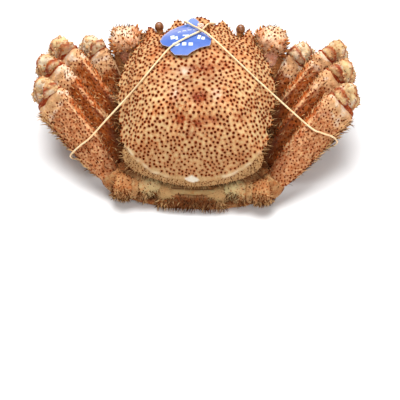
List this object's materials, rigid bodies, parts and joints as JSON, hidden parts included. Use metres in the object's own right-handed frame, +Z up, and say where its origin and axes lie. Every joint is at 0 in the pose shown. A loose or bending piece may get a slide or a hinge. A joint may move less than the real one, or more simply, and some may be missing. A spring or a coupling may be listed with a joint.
{
  "type": "horsehair crab",
  "caption": "Cooked horsehair crab with its legs folded along the body, a domed bristly carapace, and a rubber band that holds a plastic tag",
  "frame": {"origin": "middle of the underside of the bounding box, on the surface the crab lies on", "axes": "+Z up, +Y the way the crab's mouth faces, +X its right side and the longest way across"},
  "size_m": [0.2824, 0.1714, 0.1098],
  "materials": {
    "shell": "cooked shell, orange-cream with dark red-brown bristle-tipped grains",
    "leg_shell": "cooked shell, red-orange to brown, grained and hairy",
    "membrane": "smooth pale shell, cream to olive",
    "eye": "dark brown, glossy",
    "band": "cream-yellow rubber, satin",
    "tag": "blue with white shapes, satin"
  },
  "bodies": {
    "root": {"carapace": "shell", "sternum": "membrane", "abdomen": "membrane", "eye_left": "eye", "eye_right": "eye", "maxilliped_left": "membrane", "maxilliped_right": "membrane", "coxa_left_1": "leg_shell", "merus_left_1": "leg_shell", "carpus_left_1": "leg_shell", "propodus_left_1": "leg_shell", "dactylus_left_1": "leg_shell", "coxa_left_2": "leg_shell", "merus_left_2": "leg_shell", "carpus_left_2": "leg_shell", "propodus_left_2": "leg_shell", "dactylus_left_2": "leg_shell", "coxa_left_3": "leg_shell", "merus_left_3": "leg_shell", "carpus_left_3": "leg_shell", "propodus_left_3": "leg_shell", "dactylus_left_3": "leg_shell", "coxa_left_4": "membrane", "ischium_left_4": "leg_shell", "merus_left_4": "leg_shell", "carpus_left_4": "leg_shell", "propodus_left_4": "leg_shell", "dactylus_left_4": "leg_shell", "claw_arm_left": "leg_shell", "claw_wrist_left": "leg_shell", "claw_palm_left": "leg_shell", "claw_finger_left": "leg_shell", "coxa_right_1": "leg_shell", "merus_right_1": "leg_shell", "carpus_right_1": "leg_shell", "propodus_right_1": "leg_shell", "dactylus_right_1": "leg_shell", "coxa_right_2": "leg_shell", "merus_right_2": "leg_shell", "carpus_right_2": "leg_shell", "propodus_right_2": "leg_shell", "dactylus_right_2": "leg_shell", "coxa_right_3": "leg_shell", "merus_right_3": "leg_shell", "carpus_right_3": "leg_shell", "propodus_right_3": "leg_shell", "dactylus_right_3": "leg_shell", "coxa_right_4": "membrane", "ischium_right_4": "leg_shell", "merus_right_4": "leg_shell", "carpus_right_4": "leg_shell", "propodus_right_4": "leg_shell", "dactylus_right_4": "leg_shell", "claw_arm_right": "leg_shell", "claw_wrist_right": "leg_shell", "claw_palm_right": "leg_shell", "claw_finger_right": "leg_shell", "band": "band", "tag": "tag"}
  },
  "joints": []
}
